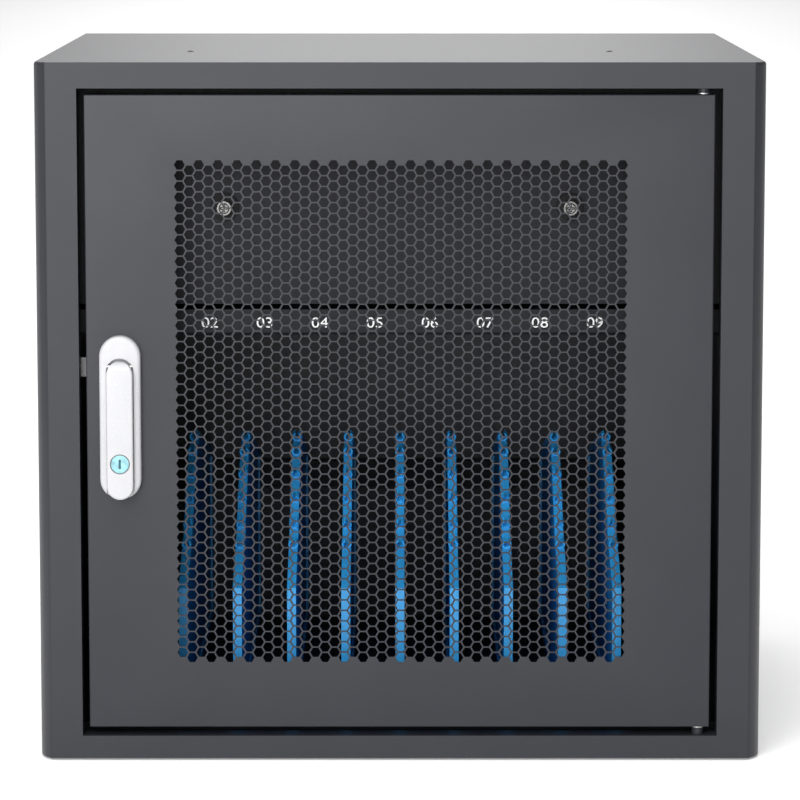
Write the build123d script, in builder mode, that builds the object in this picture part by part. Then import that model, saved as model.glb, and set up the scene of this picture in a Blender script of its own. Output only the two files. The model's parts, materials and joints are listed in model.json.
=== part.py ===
from build123d import *
import math
import os

# Laptop charging cabinet. Millimetres, +Z up, front towards -Y.
# The origin is under the middle of the whole cabinet, handle and rear fittings included.

# Cabinet body
WIDTH = 480.0
TOP_Z = 464.0
DEPTH = 440.0
SHEET = 1.2
BEVEL_IN = 8.5
BEVEL_DEEP = 18.0
TOP_FOLD = 2.0
SKIRT_Z = 1.5
FLOOR_Z = 3.0
FLANGE = 12.0
HANDLE_PROUD = 11.0
REAR_PROUD = 3.0
GAP = 0.3

# Door and its opening
OPENING_LEFT = -211.1
OPENING_RIGHT = 210.7
OPENING_LOW = 16.7
OPENING_HIGH = 447.0
GAP_LATCH = 4.6
GAP_HINGE = 4.9
GAP_LOW = 5.6
GAP_HIGH = 4.2
DOOR_INSET = 1.5
DOOR_DEPTH = 18.0
RETURN_DEPTH = 17.0
HINGE_FROM_EDGE = 7.3
HINGE_BEHIND_FACE = 7.0
HINGE_PIN_D = 4.8
HINGE_COLLAR_D = 8.0
HINGE_WASHER_D = 10.6
HINGE_WASHER_T = 0.8
HINGE_BLOCK = 14.0
HINGE_REACH = 8.0
RUNNING = 0.05

# Ventilation field of the door
FIELD_LEFT = -147.3
FIELD_RIGHT = 148.5
FIELD_LOW = 65.8
FIELD_HIGH = 400.2
VENT_COLUMNS = 16
VENT_ROWS = 16
VENT_STRUT = 2.8

# Swing handle
HANDLE_X = -184.0
BASE_W = 27.1
BASE_LOW = 176.5
BASE_HIGH = 285.0
BASE_T = 7.0
RECESS_FLOOR = 2.0
LEVER_W = 17.4
LEVER_LOW = 177.2
LEVER_HIGH = 268.6
LEVER_SIDE_GAP = 0.4
LEVER_END_GAP = 1.8
LEVER_ROUND = 5.5
LEVER_PIN_Z = 265.0
LEVER_PIN_D = 2.0
LEVER_PIN_BACK = 3.2
LEVER_PIN_IN = 2.4
LIFT_ANGLE = 35.0
LOCK_Z = 201.0
LOCK_D = 13.2
LOCK_LONG = 7.0
PLUG_D = 11.8
KEYWAY_W = 1.5
KEYWAY_H = 6.0
KEYWAY_DEEP = 5.0
SPINDLE_Z = 261.6
SPINDLE_D = 10.0
BOSS_D = 18.0
BOSS_BACK = 8.0
CAM_H = 13.0
CAM_T = 3.0
CAM_REACH = 41.0
CAM_CLEAR = 1.0
NUT_ACROSS = 16.0
NUT_T = 5.0

# Inside
RAIL_T = 45.0
RAIL_LOW = 280.2
SHELF_TOP = 297.2
COVER_LOW = 300.8
COVER_HIGH = 458.0
INNER_HALF = 236.0
COVER_SCREW_Z = 366.0
COVER_SCREW_X = -1.7
COVER_SCREW_PITCH = 229.5
COVER_SCREW_HEAD = 9.9
COVER_SCREW_OUT = 12.0
COVER_WASHER_D = 18.0
COVER_WASHER_T = 3.0
BAR_H = 30.0
BAR_DEEP = 16.0
TRAY_TOP = 15.2
TRAY_FRONT = 52.0
TRAY_BACK = 432.0
DIVIDERS = 9
DIVIDER_PITCH = 36.8
DIVIDER_W = 6.2
DIVIDER_WEB = 2.6
DIVIDER_RIM = 6.0
DIVIDER_FRONT = 63.0
DIVIDER_TOP = 187.0
DIVIDER_END = 146.0
DIVIDER_STEP = 105.0
CLIPS = 6
CLIP_D = 6.8
CLIP_BORE = 4.2
CLIP_LONG = 6.0
CLIP_MOUTH = 2.2
COMB_Z = 118.0
COMB_H = 20.0
COMB_DEEP = 14.0
NOTCH_GAP = 0.3
CABLE_SLOT_W = 400.0
CABLE_SLOT_D = 18.0
CABLE_SLOT_T = 90.0
EDGING = 1.5

# Power fittings
STRIP_LONG = 380.0
STRIP_W = 44.0
STRIP_H = 40.0
STRIP_ROWS = (190.0, 300.0)
OUTLETS = 5
OUTLET_PITCH = 70.0
OUTLET_W = 30.0
OUTLET_H = 24.0
OUTLET_DEEP = 14.0
INLET_X = -180.0
INLET_Z = 400.0
INLET_W = 27.0
INLET_H = 20.0
INLET_FLANGE_W = 50.0
INLET_FLANGE_H = 24.0
INLET_DEEP = 22.0
SWITCH_X = -136.0
SWITCH_W = 26.0
SWITCH_H = 20.0
SWITCH_AXLE_D = 3.0

# Fans
FAN = 80.0
FAN_T = 25.0
FAN_BORE = 76.0
FAN_X = 70.0
FAN_Z = 385.0
HUB_D = 34.0
BLADES = 7
BLADE_T = 1.6
ROTOR_D = 72.0
MOTOR_D = 30.0
STRUT_W = 5.0
STRUT_T = 3.0
GUARD_WIRE = 1.6
GUARD_RINGS = 5

# Small parts
SCREW_D = 4.0
SCREW_HEAD_D = 7.4
SCREW_HEAD_T = 2.4
REAR_SCREW_REACH = 1.2
FAN_SCREWS = 71.5
FAN_SCREW_REACH = 10.0
ANGLE_W = 16.0
ANGLE_SPANS = ((20.0, 280.0), (302.0, 455.0))
REAR_SCREW_END = 20.0
PAD_D = 30.0
PAD_INSET = 45.0
RIVET_X = 143.8
RIVET_T = 146.0
RIVET_D = 5.0
RIVET_HIGH = 0.9
RIVET_SHANK = 3.2

half = WIDTH / 2
whole_depth = HANDLE_PROUD + DEPTH + REAR_PROUD
front_y = -whole_depth / 2 + HANDLE_PROUD
rear_t = DEPTH - SHEET
door_left = OPENING_LEFT + GAP_LATCH
door_right = OPENING_RIGHT - GAP_HINGE
door_low = OPENING_LOW + GAP_LOW
door_high = OPENING_HIGH - GAP_HIGH
door_back = DOOR_INSET + DOOR_DEPTH
skin_back = DOOR_INSET + SHEET
hinge_x = door_right - HINGE_FROM_EDGE
hinge_t = DOOR_INSET + HINGE_BEHIND_FACE
shelf_under = SHELF_TOP - SHEET
inside_high = TOP_Z - SHEET
floor_top = FLOOR_Z + SHEET

os.makedirs("parts", exist_ok=True)


def save(piece, name):
    piece.part.label = name
    export_step(piece.part, "parts/" + name + ".step")


# t is the distance behind the front face, x and z are the cabinet's own.
def block(x0, x1, t0, t1, z0, z1, mode=Mode.ADD):
    with Locations(((x0 + x1) / 2, front_y + (t0 + t1) / 2, (z0 + z1) / 2)):
        Box(x1 - x0, t1 - t0, z1 - z0, mode=mode)


def upright(x, t, z0, z1, diameter, mode=Mode.ADD):
    with Locations((x, front_y + t, (z0 + z1) / 2)):
        Cylinder(diameter / 2, z1 - z0, mode=mode)


# A plane whose x is the cabinet's x, whose y is up and whose normal is the front.
def facing(x, t, z):
    return Plane(origin=(x, front_y + t, z), x_dir=(1, 0, 0), z_dir=(0, -1, 0))


def round_bar(x, z, t0, t1, diameter, mode=Mode.ADD):
    with Locations((x, front_y + (t0 + t1) / 2, z)):
        Cylinder(diameter / 2, t1 - t0, rotation=(90, 0, 0), mode=mode)


# A plane for side outlines: its x is the depth t, its y is up, its normal is towards +X.
def side(x):
    return Plane(origin=(x, front_y, 0), x_dir=(0, 1, 0), z_dir=(1, 0, 0))


# The front corners curve from the flat face to the sides on one arc that meets the sides smoothly.
corner_r = (BEVEL_IN ** 2 + BEVEL_DEEP ** 2) / (2 * BEVEL_IN)


def half_width(t, inset):
    if t >= BEVEL_DEEP:
        return half - inset
    return half - corner_r + math.sqrt((corner_r - inset) ** 2 - (BEVEL_DEEP - t) ** 2)


# Plan of the body between two depths, at a distance inside its outer surface.
def plan(t0, t1, inset):
    turn_end = min(t1, BEVEL_DEEP)
    turn_middle = (t0 + turn_end) / 2
    right = [(half_width(t, inset), front_y + t) for t in (t0, turn_middle, turn_end, t1)]
    left = [(-x, y) for x, y in right]
    with BuildSketch() as outline:
        with BuildLine():
            ThreePointArc(*right[:3])
            ThreePointArc(*left[:3])
            if t1 > BEVEL_DEEP:
                Line(right[2], right[3])
                Line(left[2], left[3])
            Line(right[0], left[0])
            Line(right[3], left[3])
        make_face()
    return outline.sketch


angle_inner = half - SHEET - ANGLE_W
rear_screw_x = angle_inner + ANGLE_W / 2
rear_screw_z = [z for z0, z1 in ANGLE_SPANS for z in (z0 + REAR_SCREW_END, z1 - REAR_SCREW_END)]


def rear_holes():
    for sign in (-1, 1):
        for z in rear_screw_z:
            round_bar(sign * rear_screw_x, z, rear_t - SHEET, DEPTH + SHEET, SCREW_D + GAP, Mode.SUBTRACT)
        for x in (sign * FAN_X - FAN_SCREWS / 2, sign * FAN_X + FAN_SCREWS / 2):
            for z in (FAN_Z - FAN_SCREWS / 2, FAN_Z + FAN_SCREWS / 2):
                round_bar(x, z, rear_t - SHEET, DEPTH + SHEET, SCREW_D + GAP, Mode.SUBTRACT)
        round_bar(sign * FAN_X, FAN_Z, rear_t - SHEET, DEPTH + SHEET, FAN_BORE, Mode.SUBTRACT)
    block(INLET_X - INLET_W / 2 - GAP, INLET_X + INLET_W / 2 + GAP, rear_t - SHEET, DEPTH + SHEET,
          INLET_Z - INLET_H / 2 - GAP, INLET_Z + INLET_H / 2 + GAP, Mode.SUBTRACT)
    block(SWITCH_X - SWITCH_W / 2 - GAP, SWITCH_X + SWITCH_W / 2 + GAP, rear_t - SHEET, DEPTH + SHEET,
          INLET_Z - SWITCH_H / 2 - GAP, INLET_Z + SWITCH_H / 2 + GAP, Mode.SUBTRACT)


# Casing: left side, top and right side folded from one sheet
with BuildPart() as casing:
    with BuildSketch(Plane.XY.offset(SKIRT_Z)):
        add(plan(SHEET, DEPTH, 0))
    extrude(amount=TOP_Z - SKIRT_Z)
    top_sides = [e for e in casing.faces().sort_by(Axis.Z)[-1].edges()
                 if abs(e.center().X) > half_width(SHEET, 0) - GAP and abs(e.center().Y) < rear_t / 2]
    fillet(top_sides, TOP_FOLD)
    with BuildSketch(Plane.XY.offset(SKIRT_Z - SHEET)):
        add(plan(0, DEPTH + SHEET, SHEET))
    extrude(amount=inside_high - SKIRT_Z + SHEET, mode=Mode.SUBTRACT)
    for sign in (-1, 1):
        upright(sign * RIVET_X, RIVET_T, inside_high - SHEET, TOP_Z + SHEET, RIVET_SHANK + GAP, Mode.SUBTRACT)
save(casing, "casing")

# Base pan: floor with flanges turned up on all four sides
with BuildPart() as base_pan:
    with BuildSketch(Plane.XY.offset(FLOOR_Z)):
        add(plan(SHEET, rear_t, SHEET))
    extrude(amount=FLANGE)
    with BuildSketch(Plane.XY.offset(floor_top)):
        add(plan(2 * SHEET, rear_t - SHEET, 2 * SHEET))
    extrude(amount=FLANGE, mode=Mode.SUBTRACT)
save(base_pan, "base_pan")

# Front frame: flat face round the door, with a return behind it on all four edges
with BuildPart() as front_frame:
    with BuildSketch(Plane.XY.offset(SKIRT_Z)):
        add(plan(0, SHEET, 0))
    extrude(amount=TOP_Z - SKIRT_Z)
    block(OPENING_LEFT - SHEET, OPENING_RIGHT + SHEET, 0, RETURN_DEPTH, OPENING_LOW - SHEET,
          OPENING_HIGH + SHEET)
    block(OPENING_LEFT, OPENING_RIGHT, -SHEET, RETURN_DEPTH + SHEET, OPENING_LOW, OPENING_HIGH, Mode.SUBTRACT)
    upright(hinge_x, hinge_t, OPENING_LOW - 2 * SHEET, OPENING_HIGH + 2 * SHEET, HINGE_PIN_D, Mode.SUBTRACT)
save(front_frame, "front_frame")

# Rear panel with openings for two fans, the inlet and the main switch
with BuildPart() as rear_panel:
    block(-half + SHEET, half - SHEET, rear_t, DEPTH, FLOOR_Z, inside_high)
    rear_holes()
save(rear_panel, "rear_panel")


# A pan head on the back with its shank, cross recess included
def pan_screw(x, z, reach):
    with Locations((x, front_y + DEPTH + SCREW_HEAD_T / 2, z)):
        Cylinder(SCREW_HEAD_D / 2, SCREW_HEAD_T, rotation=(90, 0, 0))
    round_bar(x, z, DEPTH - reach, DEPTH, SCREW_D)
    for wide, high in ((SCREW_D, SHEET / 2), (SHEET / 2, SCREW_D)):
        block(x - wide / 2, x + wide / 2, DEPTH + SCREW_HEAD_T / 2, DEPTH + 2 * SCREW_HEAD_T, z - high / 2,
              z + high / 2, Mode.SUBTRACT)


# Screws round the edge of the rear panel
with BuildPart() as rear_screws:
    for sign in (-1, 1):
        for z in rear_screw_z:
            pan_screw(sign * rear_screw_x, z, REAR_SCREW_REACH)
save(rear_screws, "rear_screws")

# Screws that hold the fans, four each
with BuildPart() as fan_screws:
    for sign in (-1, 1):
        for x in (sign * FAN_X - FAN_SCREWS / 2, sign * FAN_X + FAN_SCREWS / 2):
            for z in (FAN_Z - FAN_SCREWS / 2, FAN_Z + FAN_SCREWS / 2):
                pan_screw(x, z, FAN_SCREW_REACH)
save(fan_screws, "fan_screws")

# Angles on the side walls that the rear panel is screwed to, below and above the shelf
with BuildPart() as rear_angles:
    for z0, z1 in ANGLE_SPANS:
        block(angle_inner, half - SHEET, rear_t - ANGLE_W, rear_t, z0, z1)
        block(angle_inner - SHEET, half - 2 * SHEET, rear_t - ANGLE_W - SHEET, rear_t - SHEET,
              z0 - SHEET, z1 + SHEET, Mode.SUBTRACT)
    mirror(about=Plane.YZ)
save(rear_angles, "rear_angles")

# Four rubber pads under the floor
with BuildPart() as rubber_pads:
    for x in (-half + PAD_INSET, half - PAD_INSET):
        for t in (PAD_INSET, DEPTH - PAD_INSET):
            upright(x, t, 0, FLOOR_Z, PAD_D)
save(rubber_pads, "rubber_pads")

# Two domed rivets through the top, each crown an arc that lies level at its middle
crown_r = (RIVET_D ** 2 / 4 + RIVET_HIGH ** 2) / (2 * RIVET_HIGH)
crown_turn = math.asin(RIVET_D / 2 / crown_r) / 2
crown_middle = (crown_r * math.sin(crown_turn), TOP_Z + RIVET_HIGH - crown_r * (1 - math.cos(crown_turn)))
with BuildPart() as top_rivets:
    for sign in (-1, 1):
        with BuildSketch(facing(sign * RIVET_X, RIVET_T, 0)):
            with BuildLine():
                crown = ThreePointArc((0, TOP_Z + RIVET_HIGH), crown_middle, (RIVET_D / 2, TOP_Z))
                Polyline(crown @ 1, (RIVET_SHANK / 2, TOP_Z), (RIVET_SHANK / 2, inside_high - SHEET),
                         (0, inside_high - SHEET), crown @ 0)
            make_face()
        revolve(axis=Axis((sign * RIVET_X, front_y + RIVET_T, 0), (0, 0, 1)))
save(top_rivets, "top_rivets")

# Shelf between the laptop bay and the charger compartment
with BuildPart() as shelf:
    block(-half + SHEET, half - SHEET, RAIL_T + SHEET, rear_t, shelf_under - FLANGE, SHELF_TOP)
    block(-half + 2 * SHEET, half - 2 * SHEET, RAIL_T, rear_t + SHEET, shelf_under - 2 * FLANGE, shelf_under,
          Mode.SUBTRACT)
    block(-CABLE_SLOT_W / 2, CABLE_SLOT_W / 2, CABLE_SLOT_T, CABLE_SLOT_T + CABLE_SLOT_D,
          shelf_under - SHEET, SHELF_TOP + SHEET, Mode.SUBTRACT)
save(shelf, "shelf")

# Rubber edging round the cable slot
with BuildPart() as cable_edging:
    block(-CABLE_SLOT_W / 2, CABLE_SLOT_W / 2, CABLE_SLOT_T, CABLE_SLOT_T + CABLE_SLOT_D, shelf_under,
          SHELF_TOP)
    block(-CABLE_SLOT_W / 2 - EDGING, CABLE_SLOT_W / 2 + EDGING, CABLE_SLOT_T - EDGING,
          CABLE_SLOT_T + CABLE_SLOT_D + EDGING, SHELF_TOP, SHELF_TOP + EDGING)
    block(-CABLE_SLOT_W / 2 + EDGING, CABLE_SLOT_W / 2 - EDGING, CABLE_SLOT_T + EDGING,
          CABLE_SLOT_T + CABLE_SLOT_D - EDGING, shelf_under - SHEET, SHELF_TOP + 2 * EDGING, Mode.SUBTRACT)
save(cable_edging, "cable_edging")

# Number rail along the shelf's front edge, turned back at its lower edge
with BuildPart() as number_rail:
    with BuildSketch(side(-INNER_HALF)):
        with BuildLine():
            Polyline((RAIL_T, SHELF_TOP), (RAIL_T, RAIL_LOW), (RAIL_T + FLANGE, RAIL_LOW),
                     (RAIL_T + FLANGE, RAIL_LOW + SHEET), (RAIL_T + SHEET, RAIL_LOW + SHEET),
                     (RAIL_T + SHEET, SHELF_TOP), close=True)
        make_face()
    extrude(amount=2 * INNER_HALF)
    fillet(number_rail.edges().filter_by(Axis.X).sort_by(Axis.Z)[0:2].sort_by(Axis.Y)[0], TOP_FOLD)
save(number_rail, "number_rail")

# Removable cover in front of the chargers, folded back at the top and the bottom
with BuildPart() as upper_cover:
    block(-INNER_HALF, INNER_HALF, RAIL_T, RAIL_T + FLANGE, COVER_LOW, COVER_HIGH)
    block(-INNER_HALF - SHEET, INNER_HALF + SHEET, RAIL_T + SHEET, RAIL_T + 2 * FLANGE, COVER_LOW + SHEET,
          COVER_HIGH - SHEET, Mode.SUBTRACT)
    for sign in (-1, 1):
        round_bar(COVER_SCREW_X + sign * COVER_SCREW_PITCH / 2, COVER_SCREW_Z, RAIL_T - SHEET,
                  RAIL_T + 2 * SHEET, COVER_WASHER_D / 2, Mode.SUBTRACT)
save(upper_cover, "upper_cover")

# Hat-shaped bar across the cabinet that the cover is screwed to
bar_front = RAIL_T + SHEET
bar_low = COVER_SCREW_Z - BAR_H / 2
bar_high = COVER_SCREW_Z + BAR_H / 2
with BuildPart() as cover_bar:
    block(-half + SHEET, half - SHEET, bar_front, bar_front + BAR_DEEP, bar_low, bar_high)
    block(-half, half, bar_front + SHEET, bar_front + 2 * BAR_DEEP, bar_low + SHEET, bar_high - SHEET,
          Mode.SUBTRACT)
    for sign in (-1, 1):
        round_bar(COVER_SCREW_X + sign * COVER_SCREW_PITCH / 2, COVER_SCREW_Z, bar_front - SHEET,
                  bar_front + 2 * SHEET, COVER_SCREW_HEAD / 2 + GAP, Mode.SUBTRACT)
save(cover_bar, "cover_bar")

# Black washers and captive screws of the cover
with BuildPart() as cover_washers:
    for sign in (-1, 1):
        x = COVER_SCREW_X + sign * COVER_SCREW_PITCH / 2
        round_bar(x, COVER_SCREW_Z, RAIL_T - COVER_WASHER_T, RAIL_T, COVER_WASHER_D)
        round_bar(x, COVER_SCREW_Z, RAIL_T - COVER_WASHER_T - SHEET, RAIL_T + SHEET,
                  COVER_SCREW_HEAD / 2 + GAP, Mode.SUBTRACT)
save(cover_washers, "cover_washers")

screw_seat = RAIL_T - COVER_WASHER_T
with BuildPart() as cover_screws:
    for sign in (-1, 1):
        x = COVER_SCREW_X + sign * COVER_SCREW_PITCH / 2
        round_bar(x, COVER_SCREW_Z, screw_seat - COVER_SCREW_OUT, screw_seat, COVER_SCREW_HEAD)
        round_bar(x, COVER_SCREW_Z, screw_seat, bar_front + BAR_DEEP - 2 * SHEET, COVER_SCREW_HEAD / 2)
    for sign in (-1, 1):
        x = COVER_SCREW_X + sign * COVER_SCREW_PITCH / 2
        out = screw_seat - COVER_SCREW_OUT
        for wide, high in ((COVER_SCREW_HEAD / 2, SHEET), (SHEET, COVER_SCREW_HEAD / 2)):
            block(x - wide / 2, x + wide / 2, out - SHEET, out + 2 * SHEET,
                  COVER_SCREW_Z - high / 2, COVER_SCREW_Z + high / 2, Mode.SUBTRACT)
save(cover_screws, "cover_screws")

# Raised floor that the dividers stand on
with BuildPart() as divider_tray:
    block(-INNER_HALF, INNER_HALF, TRAY_FRONT, TRAY_BACK, floor_top, TRAY_TOP)
    block(-INNER_HALF - SHEET, INNER_HALF + SHEET, TRAY_FRONT + SHEET, TRAY_BACK - SHEET, floor_top - SHEET,
          TRAY_TOP - SHEET, Mode.SUBTRACT)
save(divider_tray, "divider_tray")

# Comb across the back that holds the dividers upright
comb_front = rear_t - COMB_DEEP
notch_back = rear_t - 2 * SHEET
divider_x = [(i - (DIVIDERS - 1) / 2) * DIVIDER_PITCH for i in range(DIVIDERS)]
with BuildPart() as rear_comb:
    block(-angle_inner, angle_inner, comb_front, rear_t, COMB_Z, COMB_Z + COMB_H)
    for x in divider_x:
        reach = DIVIDER_W / 2 + NOTCH_GAP
        block(x - reach, x + reach, comb_front - SHEET, notch_back, COMB_Z - SHEET, COMB_Z + COMB_H + SHEET,
              Mode.SUBTRACT)
save(rear_comb, "rear_comb")

# Outline of a divider's side: an upright front, a slope with the clips, a crown and a fall to the back
divider_back = notch_back - NOTCH_GAP
slope = [(DIVIDER_FRONT + 39, DIVIDER_STEP + 16), (DIVIDER_FRONT + 64, DIVIDER_STEP + 24),
         (DIVIDER_FRONT + 102, DIVIDER_TOP - 31), (DIVIDER_FRONT + 134, DIVIDER_TOP - 12),
         (DIVIDER_FRONT + 176, DIVIDER_TOP)]
divider_outline = [(DIVIDER_FRONT, TRAY_TOP), (DIVIDER_FRONT, DIVIDER_STEP), *slope,
                   (divider_back, DIVIDER_END), (divider_back, TRAY_TOP)]


# The point and the direction at a distance along the slope
def on_slope(distance):
    for one, two in zip(slope, slope[1:]):
        run = Vector(*two) - Vector(*one)
        if distance <= run.length or two == slope[-1]:
            return Vector(*one) + run.normalized() * distance, run.normalized()
        distance -= run.length


slope_length = sum((Vector(*two) - Vector(*one)).length for one, two in zip(slope, slope[1:]))


def divider(x):
    with BuildPart() as piece:
        with BuildSketch(side(x - DIVIDER_W / 2)):
            with BuildLine():
                Polyline(*divider_outline, close=True)
            make_face()
        extrude(amount=DIVIDER_W)
        for start in (x - DIVIDER_W / 2, x + DIVIDER_WEB / 2):
            with BuildSketch(side(start)):
                with BuildLine():
                    Polyline(*divider_outline, close=True)
                make_face()
                offset(amount=-DIVIDER_RIM, kind=Kind.INTERSECTION, mode=Mode.REPLACE)
            extrude(amount=(DIVIDER_W - DIVIDER_WEB) / 2, mode=Mode.SUBTRACT)
        for i in range(CLIPS):
            middle, along = on_slope(slope_length * (i + 0.5) / CLIPS)
            lift = Vector(-along.Y, along.X) * (CLIP_D / 2 - SHEET / 2)
            centre = middle + lift - along * (CLIP_LONG / 2)
            place = Plane(origin=(x, front_y + centre.X, centre.Y), x_dir=(1, 0, 0),
                          z_dir=(0, along.X, along.Y))
            with BuildSketch(place):
                Circle(CLIP_D / 2)
                Circle(CLIP_BORE / 2, mode=Mode.SUBTRACT)
                with Locations((0, -CLIP_D / 2)):
                    Rectangle(CLIP_MOUTH, CLIP_D, mode=Mode.SUBTRACT)
            extrude(amount=CLIP_LONG)
    return piece


for i, x in enumerate(divider_x):
    save(divider(x), "divider_%02d" % (i + 1))


# Socket strips on the shelf, each with five outlets along its top
def strip(t):
    with BuildPart() as piece:
        block(-STRIP_LONG / 2, STRIP_LONG / 2, t, t + STRIP_W, SHELF_TOP, SHELF_TOP + STRIP_H)
        for x in outlet_x:
            block(x - OUTLET_W / 2, x + OUTLET_W / 2, t + (STRIP_W - OUTLET_H) / 2,
                  t + (STRIP_W + OUTLET_H) / 2,
                  strip_top - OUTLET_DEEP - SHEET, strip_top + SHEET, Mode.SUBTRACT)
    return piece


# Outlet inserts: a cup with three contact slots in its floor
def outlets(t):
    middle = t + STRIP_W / 2
    with BuildPart() as piece:
        for x in outlet_x:
            block(x - OUTLET_W / 2, x + OUTLET_W / 2, middle - OUTLET_H / 2, middle + OUTLET_H / 2,
                  strip_top - OUTLET_DEEP - SHEET, strip_top)
        for x in outlet_x:
            block(x - OUTLET_W / 2 + 2 * SHEET, x + OUTLET_W / 2 - 2 * SHEET,
                  middle - OUTLET_H / 2 + 2 * SHEET,
                  middle + OUTLET_H / 2 - 2 * SHEET, strip_top - OUTLET_DEEP + 2 * SHEET, strip_top + SHEET,
                  Mode.SUBTRACT)
    return piece


strip_top = SHELF_TOP + STRIP_H
outlet_x = [(i - (OUTLETS - 1) / 2) * OUTLET_PITCH for i in range(OUTLETS)]
for name, t in zip(("front", "rear"), STRIP_ROWS):
    save(strip(t), "socket_strip_" + name)
    save(outlets(t), "outlets_" + name)

# Power inlet in the rear panel, with its flange outside and three pins
with BuildPart() as power_inlet:
    block(INLET_X - INLET_W / 2, INLET_X + INLET_W / 2, DEPTH - INLET_DEEP, DEPTH + REAR_PROUD,
          INLET_Z - INLET_H / 2, INLET_Z + INLET_H / 2)
    block(INLET_X - INLET_FLANGE_W / 2, INLET_X + INLET_FLANGE_W / 2, DEPTH, DEPTH + REAR_PROUD,
          INLET_Z - INLET_FLANGE_H / 2, INLET_Z + INLET_FLANGE_H / 2)
    block(INLET_X - INLET_W / 2 + 2 * SHEET, INLET_X + INLET_W / 2 - 2 * SHEET,
          DEPTH - INLET_DEEP + 2 * SHEET,
          DEPTH + 2 * REAR_PROUD, INLET_Z - INLET_H / 2 + 2 * SHEET, INLET_Z + INLET_H / 2 - 2 * SHEET,
          Mode.SUBTRACT)
    for step in (-1, 0, 1):
        x = INLET_X + step * (INLET_W / 4)
        block(x - SHEET, x + SHEET, DEPTH - INLET_DEEP + SHEET, DEPTH - SHEET, INLET_Z - 2 * SHEET,
              INLET_Z + 2 * SHEET)
save(power_inlet, "power_inlet")

# Main switch: a frame in the rear panel and a rocker that tilts on an axle in it
rocker_pivot_t = DEPTH - 4 * SHEET
with BuildPart() as switch_frame:
    block(SWITCH_X - SWITCH_W / 2, SWITCH_X + SWITCH_W / 2, DEPTH - INLET_DEEP, DEPTH + SHEET,
          INLET_Z - SWITCH_H / 2, INLET_Z + SWITCH_H / 2)
    block(SWITCH_X - SWITCH_W / 2 + 2 * SHEET, SWITCH_X + SWITCH_W / 2 - 2 * SHEET,
          DEPTH - INLET_DEEP + SHEET,
          DEPTH + 2 * SHEET, INLET_Z - SWITCH_H / 2 + 2 * SHEET, INLET_Z + SWITCH_H / 2 - 2 * SHEET,
          Mode.SUBTRACT)
    with BuildSketch(Plane(origin=(SWITCH_X - SWITCH_W, front_y + rocker_pivot_t, INLET_Z),
                           x_dir=(0, 1, 0), z_dir=(1, 0, 0))):
        Circle(SWITCH_AXLE_D / 2 + RUNNING)
    extrude(amount=2 * SWITCH_W, mode=Mode.SUBTRACT)
save(switch_frame, "switch_frame")

with BuildPart() as switch_rocker:
    rocker_half = SWITCH_H / 2 - 2 * SHEET - 2 * GAP
    with BuildSketch(side(SWITCH_X - SWITCH_W / 2 + 2 * SHEET + GAP)):
        with BuildLine():
            Polyline((rocker_pivot_t - SHEET, INLET_Z - SHEET),
                     (DEPTH - SHEET, INLET_Z - rocker_half + SHEET),
                     (DEPTH - SHEET / 2, INLET_Z), (DEPTH - SHEET, INLET_Z + rocker_half - SHEET),
                     (rocker_pivot_t - SHEET, INLET_Z + SHEET), close=True)
        make_face()
    extrude(amount=SWITCH_W - 4 * SHEET - 2 * GAP)
    with BuildSketch(Plane(origin=(SWITCH_X - SWITCH_W / 2 + SHEET, front_y + rocker_pivot_t, INLET_Z),
                           x_dir=(0, 1, 0), z_dir=(1, 0, 0))):
        Circle(SWITCH_AXLE_D / 2)
    extrude(amount=SWITCH_W - 2 * SHEET)
save(switch_rocker, "switch_rocker")


# Fan frame: square body, round bore, motor seat and struts towards the rear panel
def fan_frame(x):
    with BuildPart() as piece:
        block(x - FAN / 2, x + FAN / 2, rear_t - FAN_T, rear_t, FAN_Z - FAN / 2, FAN_Z + FAN / 2)
        fillet(piece.edges().filter_by(Axis.Y), STRUT_W)
        round_bar(x, FAN_Z, rear_t - FAN_T - SHEET, rear_t + SHEET, FAN_BORE, Mode.SUBTRACT)
        for across in (-FAN_SCREWS / 2, FAN_SCREWS / 2):
            for rise in (-FAN_SCREWS / 2, FAN_SCREWS / 2):
                round_bar(x + across, FAN_Z + rise, rear_t - FAN_T - SHEET, rear_t + SHEET, SCREW_D + GAP,
                          Mode.SUBTRACT)
        round_bar(x, FAN_Z, rear_t - STRUT_T, rear_t, MOTOR_D)
        for turn in (45, 135):
            with BuildSketch(facing(x, rear_t, FAN_Z)):
                Rectangle(FAN_BORE + SHEET, STRUT_W, rotation=turn)
            extrude(amount=STRUT_T)
        round_bar(x, FAN_Z, rear_t - FAN_T / 2, rear_t - STRUT_T, HUB_D / 4)
    return piece


# Fan rotor: a cup over the motor's spindle with pitched blades
def fan_rotor(x):
    hub_back = rear_t - STRUT_T - 2 * GAP
    hub_front = rear_t - FAN_T + GAP
    deep = hub_back - hub_front
    with BuildPart() as piece:
        round_bar(x, FAN_Z, hub_front, hub_back, HUB_D)
        for i in range(BLADES):
            angle = 360 / BLADES * i
            out = Vector(math.cos(math.radians(angle)), 0, math.sin(math.radians(angle)))
            root = Vector(x, front_y + (hub_front + hub_back) / 2, FAN_Z) + out * (HUB_D / 2 - SHEET)
            across = Vector(-out.Z, 0, out.X)
            lean = (across + Vector(0, 1, 0)).normalized()
            with BuildSketch(Plane(origin=root, x_dir=lean, z_dir=out)):
                Rectangle(deep, BLADE_T)
            extrude(amount=ROTOR_D / 2 - HUB_D / 2 + SHEET)
        round_bar(x, FAN_Z, rear_t - FAN_T / 2 - GAP, hub_back + SHEET, HUB_D / 4 + 2 * RUNNING,
                  Mode.SUBTRACT)
    return piece


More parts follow.
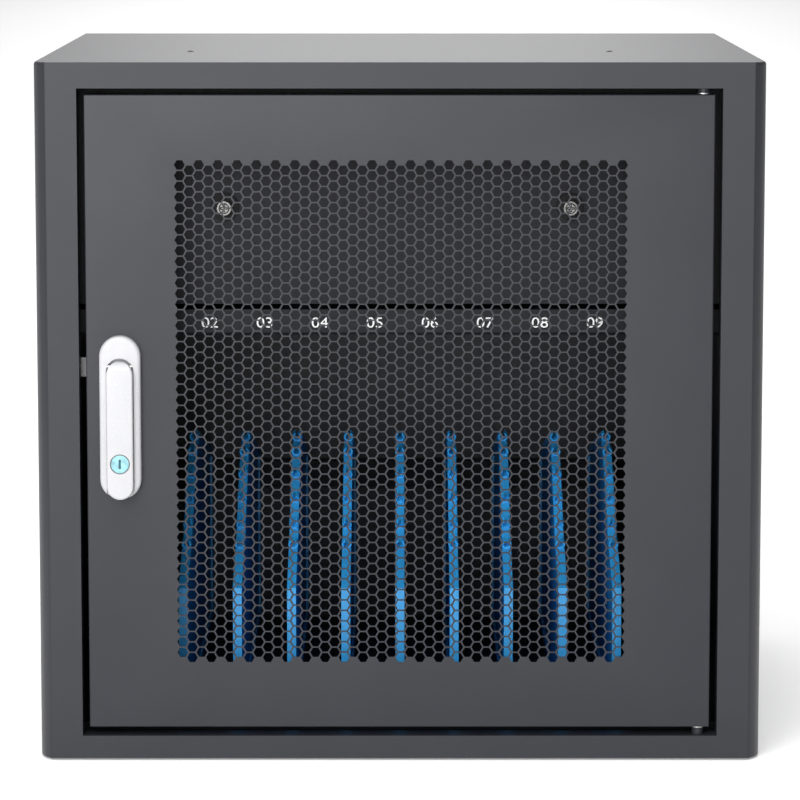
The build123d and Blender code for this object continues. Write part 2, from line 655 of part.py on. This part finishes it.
# Wire guard outside a fan: rings joined by two bars, bedded on the rear panel
def fan_guard(x):
    with BuildPart() as piece:
        for i in range(GUARD_RINGS):
            ring = FAN_BORE + 2 * STRUT_W - i * (FAN_BORE / GUARD_RINGS)
            round_bar(x, FAN_Z, DEPTH, DEPTH + GUARD_WIRE, ring)
            round_bar(x, FAN_Z, DEPTH - SHEET, DEPTH + 2 * GUARD_WIRE, ring - 2 * GUARD_WIRE, Mode.SUBTRACT)
        bar_long = FAN_SCREWS * math.sqrt(2) - SCREW_HEAD_D - 2 * GAP
        for turn in (45, 135):
            with BuildSketch(facing(x, DEPTH + REAR_PROUD, FAN_Z)):
                Rectangle(bar_long, 2 * GUARD_WIRE, rotation=turn)
            extrude(amount=REAR_PROUD)
    return piece


for name, sign in (("left", -1), ("right", 1)):
    save(fan_frame(sign * FAN_X), "fan_frame_" + name)
    save(fan_rotor(sign * FAN_X), "fan_rotor_" + name)
    save(fan_guard(sign * FAN_X), "fan_guard_" + name)

# Door: a folded pan, open at its back, with a ventilation field
with BuildPart() as door_panel:
    block(door_left, door_right, DOOR_INSET, door_back, door_low, door_high)
    block(door_left + SHEET, door_right - SHEET, skin_back, door_back + SHEET, door_low + SHEET,
          door_high - SHEET, Mode.SUBTRACT)
    pitch_x = (FIELD_RIGHT - FIELD_LEFT) / VENT_COLUMNS
    pitch_z = (FIELD_HIGH - FIELD_LOW) / (VENT_ROWS + 0.5)
    stagger = pitch_z / 4
    with BuildSketch(facing((FIELD_LEFT + FIELD_RIGHT) / 2, skin_back + SHEET, (FIELD_LOW + FIELD_HIGH) / 2)):
        for first, rise in ((-pitch_x / 2, stagger), (pitch_x / 2, -stagger)):
            with Locations((first, rise)):
                with GridLocations(2 * pitch_x, pitch_z, VENT_COLUMNS // 2, VENT_ROWS):
                    RegularPolygon((pitch_z - VENT_STRUT) / 2, 6, major_radius=False)
    extrude(amount=3 * SHEET, mode=Mode.SUBTRACT)
    round_bar(HANDLE_X, SPINDLE_Z, DOOR_INSET - SHEET, skin_back + SHEET, BOSS_D + GAP, Mode.SUBTRACT)
    for z in (door_low, door_high):
        upright(hinge_x, hinge_t, z - 2 * SHEET, z + 2 * SHEET, HINGE_PIN_D + 2 * RUNNING, Mode.SUBTRACT)
save(door_panel, "door_panel")

# Blocks in the door's corners that turn on the hinge pins
with BuildPart() as hinge_blocks:
    for z in (door_low + SHEET, door_high - SHEET - HINGE_BLOCK):
        block(hinge_x - HINGE_BLOCK / 2, door_right - SHEET, skin_back, hinge_t + HINGE_BLOCK / 2 - SHEET,
              z, z + HINGE_BLOCK)
        upright(hinge_x, hinge_t, z - SHEET, z + HINGE_BLOCK + SHEET, HINGE_PIN_D + 2 * RUNNING,
                Mode.SUBTRACT)
save(hinge_blocks, "hinge_blocks")

# Hinge pins through the frame's returns into the door, and the collars and washers that space the door
with BuildPart() as hinge_pins:
    upright(hinge_x, hinge_t, OPENING_LOW - SHEET, door_low + HINGE_REACH, HINGE_PIN_D)
    upright(hinge_x, hinge_t, door_high - HINGE_REACH, OPENING_HIGH + SHEET, HINGE_PIN_D)
save(hinge_pins, "hinge_pins")

washer_top = door_high + GAP + HINGE_WASHER_T
with BuildPart() as hinge_collars:
    for z0, z1 in ((OPENING_LOW, door_low - HINGE_WASHER_T), (washer_top, OPENING_HIGH)):
        upright(hinge_x, hinge_t, z0, z1, HINGE_COLLAR_D)
        upright(hinge_x, hinge_t, z0 - SHEET, z1 + SHEET, HINGE_PIN_D, Mode.SUBTRACT)
save(hinge_collars, "hinge_collars")

with BuildPart() as hinge_washers:
    for z0 in (door_low - HINGE_WASHER_T, door_high + GAP):
        upright(hinge_x, hinge_t, z0, z0 + HINGE_WASHER_T, HINGE_WASHER_D)
        upright(hinge_x, hinge_t, z0 - SHEET, z0 + 2 * SHEET, HINGE_PIN_D, Mode.SUBTRACT)
save(hinge_washers, "hinge_washers")

# Swing handle: an oval base with a recess for the lever and a boss through the door
floor_t = DOOR_INSET - RECESS_FLOOR
base_mid = (BASE_LOW + BASE_HIGH) / 2
pin_t = floor_t - GAP - LEVER_PIN_BACK
recess_w = LEVER_W + 2 * LEVER_SIDE_GAP
recess_high = LEVER_HIGH + LEVER_END_GAP
recess_low = BASE_LOW - BASE_W
with BuildPart() as handle_base:
    with BuildSketch(facing(HANDLE_X, DOOR_INSET, base_mid)):
        SlotOverall(BASE_HIGH - BASE_LOW, BASE_W, rotation=90)
    extrude(amount=BASE_T)
    fillet(handle_base.faces().sort_by(Axis.Y)[0].outer_wire().edges(), 2 * SHEET)
    with BuildSketch(facing(HANDLE_X, floor_t, (recess_high + recess_low) / 2)):
        SlotOverall(recess_high - recess_low, recess_w, rotation=90)
    extrude(amount=BASE_T, mode=Mode.SUBTRACT)
    round_bar(HANDLE_X, SPINDLE_Z, DOOR_INSET, DOOR_INSET + BOSS_BACK, BOSS_D)
    round_bar(HANDLE_X, SPINDLE_Z, DOOR_INSET, DOOR_INSET + BOSS_BACK + SHEET, SPINDLE_D + 2 * RUNNING,
              Mode.SUBTRACT)
    with BuildSketch(Plane(origin=(HANDLE_X - BASE_W / 2 + LEVER_PIN_IN, front_y + pin_t, LEVER_PIN_Z),
                           x_dir=(0, 1, 0), z_dir=(1, 0, 0))):
        Circle(LEVER_PIN_D / 2)
    extrude(amount=BASE_W - 2 * LEVER_PIN_IN, mode=Mode.SUBTRACT)
save(handle_base, "handle_base")

# Pin across the base that the lever lifts on
with BuildPart() as lever_pin:
    with BuildSketch(Plane(origin=(HANDLE_X - BASE_W / 2 + LEVER_PIN_IN, front_y + pin_t, LEVER_PIN_Z),
                           x_dir=(0, 1, 0), z_dir=(1, 0, 0))):
        Circle(LEVER_PIN_D / 2)
    extrude(amount=BASE_W - 2 * LEVER_PIN_IN)
save(lever_pin, "lever_pin")

# Lever: round at both ends, its upper back corner cut away so that it can lift
lever_back = floor_t - GAP
lever_mid = (LEVER_LOW + LEVER_HIGH) / 2
with BuildPart() as handle_lever:
    with BuildSketch(facing(HANDLE_X, lever_back, lever_mid)):
        SlotOverall(LEVER_HIGH - LEVER_LOW, LEVER_W, rotation=90)
    extrude(amount=lever_back + HANDLE_PROUD)
    fillet(handle_lever.faces().sort_by(Axis.Y)[0].outer_wire().edges(), SHEET)
    cut_angle = math.radians(LIFT_ANGLE)
    heel_z = LEVER_PIN_Z + LEVER_PIN_BACK * math.sin(cut_angle)
    heel_t = pin_t + LEVER_PIN_BACK * math.cos(cut_angle)
    fall = math.tan(cut_angle)
    start_z = heel_z - (lever_back + GAP - heel_t) / fall
    end_t = heel_t - (LEVER_HIGH + GAP - heel_z) * fall
    with BuildSketch(side(HANDLE_X - LEVER_W)):
        with BuildLine():
            Polyline((lever_back + GAP, start_z), (end_t, LEVER_HIGH + GAP),
                     (lever_back + GAP, LEVER_HIGH + GAP),
                     close=True)
        make_face()
        with BuildLine():
            nose = CenterArc((LEVER_ROUND - HANDLE_PROUD, LEVER_HIGH - LEVER_ROUND), LEVER_ROUND, 90, 90)
            Polyline(nose @ 0, (-HANDLE_PROUD - GAP, LEVER_HIGH + GAP), nose @ 1)
        make_face()
    extrude(amount=2 * LEVER_W, mode=Mode.SUBTRACT)
    with BuildSketch(Plane(origin=(HANDLE_X - LEVER_W, front_y + pin_t, LEVER_PIN_Z),
                           x_dir=(0, 1, 0), z_dir=(1, 0, 0))):
        Circle(LEVER_PIN_D / 2 + RUNNING)
    extrude(amount=2 * LEVER_W, mode=Mode.SUBTRACT)
    round_bar(HANDLE_X, LOCK_Z, -HANDLE_PROUD - SHEET, LOCK_LONG - HANDLE_PROUD, LOCK_D, Mode.SUBTRACT)
save(handle_lever, "handle_lever")

# Lock: a fixed cylinder in the lever and the plug that the key turns
with BuildPart() as lock_cylinder:
    round_bar(HANDLE_X, LOCK_Z, -HANDLE_PROUD, LOCK_LONG - HANDLE_PROUD, LOCK_D)
    round_bar(HANDLE_X, LOCK_Z, -HANDLE_PROUD - SHEET, LOCK_LONG - HANDLE_PROUD - SHEET, PLUG_D + 2 * RUNNING,
              Mode.SUBTRACT)
save(lock_cylinder, "lock_cylinder")

with BuildPart() as lock_plug:
    round_bar(HANDLE_X, LOCK_Z, -HANDLE_PROUD, LOCK_LONG - HANDLE_PROUD - SHEET - GAP, PLUG_D)
    block(HANDLE_X - KEYWAY_W / 2, HANDLE_X + KEYWAY_W / 2, -HANDLE_PROUD - SHEET, KEYWAY_DEEP - HANDLE_PROUD,
          LOCK_Z - KEYWAY_H / 2, LOCK_Z + KEYWAY_H / 2, Mode.SUBTRACT)
save(lock_plug, "lock_plug")

# Latch behind the door: spindle, cam with its tongue towards the frame, and nut
cam_front = door_back + CAM_CLEAR
cam_back = cam_front + CAM_T
with BuildPart() as latch_spindle:
    round_bar(HANDLE_X, SPINDLE_Z, DOOR_INSET + GAP, cam_back + NUT_T + SHEET, SPINDLE_D)
save(latch_spindle, "latch_spindle")

with BuildPart() as latch_cam:
    with BuildSketch(facing(HANDLE_X, cam_back, SPINDLE_Z)):
        Circle(NUT_ACROSS / 2 + SHEET)
        with Locations((-CAM_REACH / 2, 0)):
            Rectangle(CAM_REACH, CAM_H)
        Circle(SPINDLE_D / 2, mode=Mode.SUBTRACT)
    extrude(amount=CAM_T)
save(latch_cam, "latch_cam")

with BuildPart() as latch_nut:
    with BuildSketch(facing(HANDLE_X, cam_back + NUT_T, SPINDLE_Z)):
        RegularPolygon(NUT_ACROSS / 2, 6, major_radius=False)
        Circle(SPINDLE_D / 2, mode=Mode.SUBTRACT)
    extrude(amount=NUT_T)
save(latch_nut, "latch_nut")

# Folded bar that stiffens the door beside its field
with BuildPart() as door_stiffener:
    x0 = FIELD_LEFT - 3 * SHEET
    block(x0 - BAR_DEEP, x0, skin_back, door_back - SHEET, door_low + SHEET, door_high - SHEET)
    block(x0 - BAR_DEEP + SHEET, x0 + SHEET, skin_back + SHEET, door_back, door_low, door_high, Mode.SUBTRACT)
save(door_stiffener, "door_stiffener")

print("front face at y", front_y, "whole depth", whole_depth)
print("hinge", hinge_x, front_y + hinge_t, "lever pin", front_y + pin_t, LEVER_PIN_Z)
print("rocker pivot", front_y + rocker_pivot_t, "spindle", HANDLE_X, SPINDLE_Z)
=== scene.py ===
import json
import math

import bmesh
import bpy
from mathutils import Matrix, Vector
from mathutils.geometry import delaunay_2d_cdt

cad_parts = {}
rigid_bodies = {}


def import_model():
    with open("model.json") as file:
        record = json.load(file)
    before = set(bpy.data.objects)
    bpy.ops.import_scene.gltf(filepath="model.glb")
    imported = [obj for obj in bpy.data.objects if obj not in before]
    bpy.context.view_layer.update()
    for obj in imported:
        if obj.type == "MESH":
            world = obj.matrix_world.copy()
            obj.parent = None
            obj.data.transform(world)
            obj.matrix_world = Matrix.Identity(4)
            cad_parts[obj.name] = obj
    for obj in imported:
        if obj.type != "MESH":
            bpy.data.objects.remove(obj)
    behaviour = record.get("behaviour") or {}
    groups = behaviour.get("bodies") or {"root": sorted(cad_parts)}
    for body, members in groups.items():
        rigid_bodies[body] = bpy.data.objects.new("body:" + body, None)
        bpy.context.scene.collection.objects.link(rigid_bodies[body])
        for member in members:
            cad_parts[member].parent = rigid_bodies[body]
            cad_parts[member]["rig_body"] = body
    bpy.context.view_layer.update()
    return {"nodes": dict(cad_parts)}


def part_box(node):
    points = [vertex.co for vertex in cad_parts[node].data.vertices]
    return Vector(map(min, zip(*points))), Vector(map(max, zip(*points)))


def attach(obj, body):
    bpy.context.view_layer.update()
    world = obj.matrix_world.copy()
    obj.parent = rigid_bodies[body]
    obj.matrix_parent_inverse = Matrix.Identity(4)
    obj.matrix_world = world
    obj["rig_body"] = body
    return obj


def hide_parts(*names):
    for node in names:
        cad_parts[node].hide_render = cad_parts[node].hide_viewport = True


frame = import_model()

MM = 0.001

# Camera, aimed down at the cabinet's middle
CAMERA_BACK = 2615.6 * MM
CAMERA_HIGH = 594.3 * MM
CAMERA_DOWN = math.radians(7.666)
CAMERA_LENS = 180.44
CAMERA_REACH = 60.0
SENSOR = 36.0

# Sheet metal
SHEET = 1.2 * MM
FOLD = 1.0 * MM
FOLD_STEPS = 6

# The door's perforated field, as the photograph shows it
HOLE_COLUMNS = 47
HOLE_ROWS = 47
HOLE_PITCH_X = 6.297 * MM
HOLE_PITCH_Z = 7.045 * MM
HOLE_FLAT = 6.2 * MM
FIRST_COLUMN_X = -144.2 * MM
TOP_ROW_Z = 397.0 * MM
BOSS_HOLE_R = 9.15 * MM
BOSS_HOLE_SIDES = 48

# Slot numbers on the rail
SLOTS = 10
NUMBER_PITCH = 36.74 * MM
NUMBER_MIDDLE = 1.6 * MM
NUMBER_Z = 288.0 * MM
NUMBER_SIZE = 9.864 * MM
NUMBER_STRETCH = 1.17
NUMBER_PROUD = 0.05 * MM

# Black ring painted as the shade in the groove between a cover screw's knurled head and its inner
# screw
SHADE_RING_OUTER = 3.6 * MM
SHADE_RING_INNER = 2.9 * MM
SHADE_RING_PROUD = 0.06 * MM
SHADE_RING_STEPS = 40

# Floor, glowing a little, and the surroundings' brightness from left to right
FLOOR_HALF = 18.0
FLOOR_GLOW = 0.22
SKY_STRENGTH = 0.5
SKY_LEVELS = ((0.0, 0.32), (0.40, 1.0), (0.58, 1.0), (1.0, 0.0))

# Relief of a surface, and the part of the noise over which its tint changes
RELIEF_DEPTH = 0.2 * MM
TINT_FROM = 0.3
TINT_TO = 0.7

# Angles in degrees at which a mesh is joined flat, rounded and shaded sharp
FLAT_ANGLE = 0.5
EDGE_ANGLE = 28
SHARP_ANGLE = 40
FINE_SHARP_ANGLE = 30

door_low, door_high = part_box("door_panel")
front_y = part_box("front_frame")[0].y


# Paint, plastic or metal: a slow change of tint, a fine change of gloss and a fine relief
def material(name, colour, roughness, metallic=0.0, tint=0.06, tint_size=0.05, bump=0.15,
             bump_size=0.0012, rough_spread=0.06, specular=0.5):
    m = bpy.data.materials.new(name)
    m.use_nodes = True
    tree = m.node_tree
    tree.nodes.clear()
    out = tree.nodes.new("ShaderNodeOutputMaterial")
    shader = tree.nodes.new("ShaderNodeBsdfPrincipled")
    tree.links.new(shader.outputs[0], out.inputs[0])
    shader.inputs["Metallic"].default_value = metallic
    shader.inputs["Specular IOR Level"].default_value = specular
    place = tree.nodes.new("ShaderNodeTexCoord")
    wide = tree.nodes.new("ShaderNodeTexNoise")
    wide.inputs["Scale"].default_value = 1 / tint_size
    wide.inputs["Detail"].default_value = 5
    tree.links.new(place.outputs["Object"], wide.inputs["Vector"])
    ramp = tree.nodes.new("ShaderNodeValToRGB")
    ramp.color_ramp.elements[0].position = TINT_FROM
    ramp.color_ramp.elements[1].position = TINT_TO
    ramp.color_ramp.elements[0].color = [c * (1 - tint) for c in colour] + [1]
    ramp.color_ramp.elements[1].color = [min(1, c * (1 + tint)) for c in colour] + [1]
    tree.links.new(wide.outputs["Fac"], ramp.inputs["Fac"])
    tree.links.new(ramp.outputs["Color"], shader.inputs["Base Color"])
    fine = tree.nodes.new("ShaderNodeTexNoise")
    fine.inputs["Scale"].default_value = 1 / bump_size
    fine.inputs["Detail"].default_value = 3
    tree.links.new(place.outputs["Object"], fine.inputs["Vector"])
    spread = tree.nodes.new("ShaderNodeMapRange")
    spread.inputs["To Min"].default_value = roughness - rough_spread
    spread.inputs["To Max"].default_value = roughness + rough_spread
    tree.links.new(fine.outputs["Fac"], spread.inputs["Value"])
    tree.links.new(spread.outputs["Result"], shader.inputs["Roughness"])
    relief = tree.nodes.new("ShaderNodeBump")
    relief.inputs["Strength"].default_value = bump
    relief.inputs["Distance"].default_value = RELIEF_DEPTH
    tree.links.new(fine.outputs["Fac"], relief.inputs["Height"])
    tree.links.new(relief.outputs["Normal"], shader.inputs["Normal"])
    return m


grey_paint = material("grey_paint", (0.0245, 0.0255, 0.0310), 0.38, tint=0.05, bump=0.12,
                      specular=0.26)
dark_paint = material("dark_paint", (0.0100, 0.0105, 0.0135), 0.5, bump=0.12, specular=0.20)
blue_plastic = material("blue_plastic", (0.035, 0.36, 0.80), 0.36, bump=0.05)
black_plastic = material("black_plastic", (0.006, 0.006, 0.007), 0.55, bump=0.08, specular=0.2)
strip_paint = material("strip_paint", (0.03, 0.03, 0.033), 0.4)
rubber = material("rubber", (0.015, 0.015, 0.015), 0.75, bump=0.25)
bright_steel = material("bright_steel", (0.62, 0.62, 0.60), 0.28, metallic=1.0, bump=0.05)
# Bright steel darkened to a painted shade, for the steel parts that sit in the door's gaps and
# behind the door
painted_shade_steel = material("painted_shade_steel", (0.12, 0.12, 0.12), 0.36, metallic=1.0, bump=0.05)
screw_steel = material("screw_steel", (0.17, 0.17, 0.165), 0.3, metallic=1.0, tint=0.25,
                       tint_size=0.002, bump=0.08)
handle_silver = material("handle_silver", (0.44, 0.44, 0.455), 0.26, bump=0.03)
lock_face = material("lock_face", (0.22, 0.46, 0.52), 0.3, tint=0.35, tint_size=0.004, bump=0.03)
number_white = material("number_white", (0.85, 0.85, 0.85), 0.5, bump=0.02)


def finish_piece(obj, m, body):
    obj.data.materials.clear()
    obj.data.materials.append(m)
    bpy.context.scene.collection.objects.link(obj)
    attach(obj, body)


def weighted(obj):
    mod = obj.modifiers.new("even_normals", "WEIGHTED_NORMAL")
    mod.keep_sharp = True


# A CAD node's own mesh with its flat faces joined and its edges rounded
def rounded(name, m, width, segments=2):
    source = frame["nodes"][name]
    mesh = bpy.data.meshes.new(name + "_dressed")
    bm = bmesh.new()
    bm.from_mesh(source.data)
    bmesh.ops.remove_doubles(bm, verts=bm.verts, dist=1e-6)
    bmesh.ops.dissolve_limit(bm, angle_limit=math.radians(FLAT_ANGLE), verts=bm.verts,
                             edges=bm.edges)
    sharp = [e for e in bm.edges
             if len(e.link_faces) == 2 and e.calc_face_angle(0) > math.radians(EDGE_ANGLE)]
    bmesh.ops.bevel(bm, geom=sharp, offset=width, segments=segments, profile=0.5, affect="EDGES",
                    clamp_overlap=True)
    for f in bm.faces:
        f.smooth = True
    bm.to_mesh(mesh)
    bm.free()
    mesh.set_sharp_from_angle(angle=math.radians(SHARP_ANGLE))
    obj = bpy.data.objects.new(name + "_dressed", mesh)
    finish_piece(obj, m, source["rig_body"])
    weighted(obj)
    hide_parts(name)


# Door: front sheet with its punched field, folded back on all four sides
def rectangle(inset):
    return [(door_low.x + inset, door_low.z + inset), (door_high.x - inset, door_low.z + inset),
            (door_high.x - inset, door_high.z - inset), (door_low.x + inset, door_high.z - inset)]


def regular(cx, cz, radius, count):
    step = 2 * math.pi / count
    return [(cx + radius * math.cos(i * step), cz + radius * math.sin(i * step))
            for i in range(count)]


def door_holes():
    radius = HOLE_FLAT / math.sqrt(3)
    holes = []
    for column in range(HOLE_COLUMNS):
        drop = HOLE_PITCH_Z / 2 if column % 2 else 0.0
        for row in range(HOLE_ROWS):
            holes.append(regular(FIRST_COLUMN_X + column * HOLE_PITCH_X,
                                 TOP_ROW_Z - drop - row * HOLE_PITCH_Z, radius, 6))
    spindle_low, spindle_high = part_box("latch_spindle")
    middle = (spindle_low + spindle_high) / 2
    holes.append(regular(middle.x, middle.z, BOSS_HOLE_R, BOSS_HOLE_SIDES))
    return holes


def perforated_faces(outline, holes):
    points = [Vector(p) for p in outline]
    edges = [(i, (i + 1) % len(outline)) for i in range(len(outline))]
    for hole in holes:
        first = len(points)
        points += [Vector(p) for p in hole]
        edges += [(first + i, first + (i + 1) % len(hole)) for i in range(len(hole))]
    hole_of = {}
    first = len(outline)
    for number, hole in enumerate(holes):
        for i in range(len(hole)):
            hole_of[first + i] = number
        first += len(hole)
    made = delaunay_2d_cdt(points, edges, [], 0, 1e-7)
    verts, faces, origins = made[0], made[2], made[3]
    number_of = {i: hole_of.get(o[0]) if o else None for i, o in enumerate(origins)}
    kept = []
    for face in faces:
        owners = {number_of[v] for v in face}
        if len(owners) == 1 and None not in owners:
            continue
        kept.append(face)
    return verts, kept


def make_door():
    bm = bmesh.new()
    holes = door_holes()
    flat_verts, flat_faces = perforated_faces(rectangle(FOLD), holes)

    def layer(y):
        return [bm.verts.new((v.x, y, v.y)) for v in flat_verts]

    front = layer(door_low.y)
    back = layer(door_low.y + SHEET)
    used = set()
    for face in flat_faces:
        bm.faces.new([front[i] for i in face])
        bm.faces.new([back[i] for i in reversed(face)])
        used.update(face)
    sides = {}
    for face in flat_faces:
        for i, a in enumerate(face):
            b = face[(i + 1) % len(face)]
            sides[(a, b)] = sides.get((a, b), 0) + 1
    corner = [min(range(len(flat_verts)), key=lambda i: (flat_verts[i] - Vector(p)).length)
              for p in rectangle(FOLD)]
    rim = {(corner[i], corner[(i + 1) % 4]) for i in range(4)}
    for a, b in sides:
        if (b, a) not in sides and (a, b) not in rim and (b, a) not in rim:
            bm.faces.new((front[b], front[a], back[a], back[b]))

    def ring(inset, y):
        return [bm.verts.new((x, y, z)) for x, z in rectangle(inset)]

    outer = [[front[i] for i in corner]]
    for k in range(1, FOLD_STEPS + 1):
        a = math.pi / 2 * k / FOLD_STEPS
        outer.append(ring(FOLD * (1 - math.sin(a)), door_low.y + FOLD * (1 - math.cos(a))))
    outer.append(ring(0, door_high.y))
    outer.append(ring(SHEET, door_high.y))
    outer.append(ring(SHEET, door_low.y + SHEET))
    for one, two in zip(outer, outer[1:]):
        for i in range(4):
            j = (i + 1) % 4
            bm.faces.new((one[i], one[j], two[j], two[i]))
    inner = outer[-1]
    back_corner = [back[i] for i in corner]
    for i in range(4):
        j = (i + 1) % 4
        bm.faces.new((inner[i], inner[j], back_corner[j], back_corner[i]))
    for v in [v for v in bm.verts if not v.link_faces]:
        bm.verts.remove(v)
    bmesh.ops.recalc_face_normals(bm, faces=bm.faces)
    mesh = bpy.data.meshes.new("door_sheet")
    bm.to_mesh(mesh)
    bm.free()
    mesh.shade_smooth()
    mesh.set_sharp_from_angle(angle=math.radians(FINE_SHARP_ANGLE))
    obj = bpy.data.objects.new("door_sheet", mesh)
    finish_piece(obj, grey_paint, "front_door")
    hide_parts("door_panel")


make_door()

dividers = sorted(n for n in frame["nodes"] if n.startswith("divider_0"))

# Nodes, their material and the record's slot, and how far their edges are rounded
DRESS = (
    (("casing", "rear_panel", "base_pan"), grey_paint, "grey_paint", 0.5),
    (("door_stiffener", "hinge_blocks", "hinge_collars", "rear_angles"), grey_paint, "grey_paint",
     0.2),
    (("top_rivets",), grey_paint, "bright_steel", 0.15),
    (("upper_cover", "number_rail", "shelf", "cover_bar", "divider_tray", "rear_comb"), dark_paint,
     "dark_paint", 0.3),
    (dividers, blue_plastic, "blue_plastic", 0.5),
    (("handle_base", "handle_lever"), handle_silver, "handle_silver", 0.3),
    (("fan_frame_left", "fan_frame_right", "fan_rotor_left", "fan_rotor_right", "power_inlet",
      "switch_frame", "switch_rocker", "outlets_front", "outlets_rear", "cover_washers"),
     black_plastic, "black_plastic", 0.25),
    (("socket_strip_front", "socket_strip_rear"), strip_paint, "strip_body", 1.0),
    (("rubber_pads", "cable_edging"), rubber, "rubber", 0.3),
    (("hinge_washers", "lever_pin", "fan_guard_left", "fan_guard_right", "rear_screws",
      "fan_screws"), bright_steel, "bright_steel", 0.15),
    # Pins, latch and lock take the painted-shade copy of bright steel
    (("hinge_pins", "latch_spindle", "latch_cam", "latch_nut", "lock_cylinder"), painted_shade_steel,
     "bright_steel", 0.15),
    (("lock_plug",), lock_face, "bright_steel", 0.15),
)
for names, m, slot, width in DRESS:
    for name in names:
        rounded(name, m, width * MM)
rounded("front_frame", grey_paint, 0.8 * MM, segments=3)
rounded("cover_screws", screw_steel, 0.4 * MM, segments=3)


# Slot numbers
rail_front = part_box("number_rail")[0].y
for i in range(SLOTS):
    number = "%02d" % (i + 1)
    x = NUMBER_MIDDLE + (i - (SLOTS - 1) / 2) * NUMBER_PITCH
    curve = bpy.data.curves.new("slot_number_" + number, "FONT")
    curve.body = number
    curve.align_x = "CENTER"
    curve.align_y = "CENTER"
    curve.size = NUMBER_SIZE
    curve.extrude = NUMBER_PROUD
    label = bpy.data.objects.new("slot_number_" + number, curve)
    label.matrix_world = Matrix.Translation((x, rail_front - NUMBER_PROUD, NUMBER_Z))
    label.matrix_world @= Matrix.Rotation(math.pi / 2, 4, "X")
    label.matrix_world @= Matrix.Scale(NUMBER_STRETCH, 4, (1, 0, 0))
    finish_piece(label, number_white, "cabinet")

screws_low, screws_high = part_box("cover_screws")
screw_radius = (screws_high.z - screws_low.z) / 2
screw_z = (screws_low.z + screws_high.z) / 2


# A black ring turned round a screw's axis, a little proud of its head, painting the groove's shade
def painted_groove_shade(name, x, z):
    bm = bmesh.new()
    profile = [(SHADE_RING_OUTER, 0), (SHADE_RING_OUTER, -SHADE_RING_PROUD), (SHADE_RING_INNER, -SHADE_RING_PROUD),
               (SHADE_RING_INNER, 0)]
    rings = []
    for i in range(SHADE_RING_STEPS):
        turn = 2 * math.pi * i / SHADE_RING_STEPS
        ring = [(x + r * math.cos(turn), screws_low.y + y, z + r * math.sin(turn))
                for r, y in profile]
        rings.append([bm.verts.new(point) for point in ring])
    for one, two in zip(rings, rings[1:] + rings[:1]):
        for j in range(len(profile)):
            k = (j + 1) % len(profile)
            bm.faces.new((one[j], one[k], two[k], two[j]))
    bmesh.ops.recalc_face_normals(bm, faces=bm.faces)
    mesh = bpy.data.meshes.new(name)
    bm.to_mesh(mesh)
    bm.free()
    mesh.shade_smooth()
    mesh.set_sharp_from_angle(angle=math.radians(FINE_SHARP_ANGLE))
    obj = bpy.data.objects.new(name, mesh)
    finish_piece(obj, black_plastic, "cabinet")


painted_groove_shade("painted_groove_shade_left", screws_low.x + screw_radius, screw_z)
painted_groove_shade("painted_groove_shade_right", screws_high.x - screw_radius, screw_z)

# Camera
camera_data = bpy.data.cameras.new("camera")
camera = bpy.data.objects.new("camera", camera_data)
bpy.context.scene.collection.objects.link(camera)
camera.location = (0, front_y - CAMERA_BACK, CAMERA_HIGH)
camera.rotation_euler = (math.pi / 2 - CAMERA_DOWN, 0, 0)
camera_data.sensor_width = SENSOR
camera_data.lens = CAMERA_LENS
camera_data.clip_end = CAMERA_REACH
bpy.context.scene.camera = camera

# Floor
floor_mesh = bpy.data.meshes.new("floor")
floor_corners = [(-FLOOR_HALF, -FLOOR_HALF, 0), (FLOOR_HALF, -FLOOR_HALF, 0),
                 (FLOOR_HALF, FLOOR_HALF, 0), (-FLOOR_HALF, FLOOR_HALF, 0)]
floor_mesh.from_pydata(floor_corners, [], [(0, 1, 2, 3)])
floor_material = material("floor_white", (0.92, 0.92, 0.92), 0.9, bump=0.0, tint=0.005,
                          specular=0.1)
floor_nodes = floor_material.node_tree.nodes
floor_shader = next(n for n in floor_nodes if n.type == "BSDF_PRINCIPLED")
floor_shader.inputs["Emission Color"].default_value = (1, 1, 1, 1)
floor_shader.inputs["Emission Strength"].default_value = FLOOR_GLOW
floor_mesh.materials.append(floor_material)
floor = bpy.data.objects.new("floor", floor_mesh)
bpy.context.scene.collection.objects.link(floor)

# White surroundings that fall off to both sides, more to the right
world = bpy.data.worlds.new("studio")
bpy.context.scene.world = world
world.use_nodes = True
sky = world.node_tree
direction = sky.nodes.new("ShaderNodeTexCoord")
split = sky.nodes.new("ShaderNodeSeparateXYZ")
sideways = sky.nodes.new("ShaderNodeMapRange")
sideways.inputs["From Min"].default_value = -1.0
falloff = sky.nodes.new("ShaderNodeValToRGB")
sky.links.new(direction.outputs["Generated"], split.inputs[0])
sky.links.new(split.outputs["X"], sideways.inputs["Value"])
sky.links.new(sideways.outputs["Result"], falloff.inputs["Fac"])
sky.links.new(falloff.outputs["Color"], sky.nodes["Background"].inputs["Color"])
sky.nodes["Background"].inputs["Strength"].default_value = SKY_STRENGTH
ramp = falloff.color_ramp
ramp.interpolation = "EASE"
ramp.elements.remove(ramp.elements[1])
for i, (position, level) in enumerate(SKY_LEVELS):
    stop = ramp.elements.new(position) if i else ramp.elements[0]
    stop.position = position
    stop.color = (level, level, level, 1)


# Soft box: where it stands, what it faces, its width, height and power
def light(name, place, target, wide, tall, power):
    data = bpy.data.lights.new(name, "AREA")
    data.shape = "RECTANGLE"
    data.size = wide
    data.size_y = tall
    data.energy = power
    obj = bpy.data.objects.new(name, data)
    obj.location = place
    obj.rotation_euler = (Vector(target) - Vector(place)).to_track_quat("-Z", "Y").to_euler()
    bpy.context.scene.collection.objects.link(obj)
    return obj


light("key", (-1.3, -2.5, 2.0), (0, -0.2, 0.2), 1.6, 1.2, 45)
light("front", (-0.9, -4.4, 1.15), (0, 0, 0.9), 2.6, 2.2, 120)
light("overhead", (0, 6.5, 2.4), (0, 6.5, 0), 2.0, 21.0, 215)

bpy.context.scene.view_settings.view_transform = "Standard"
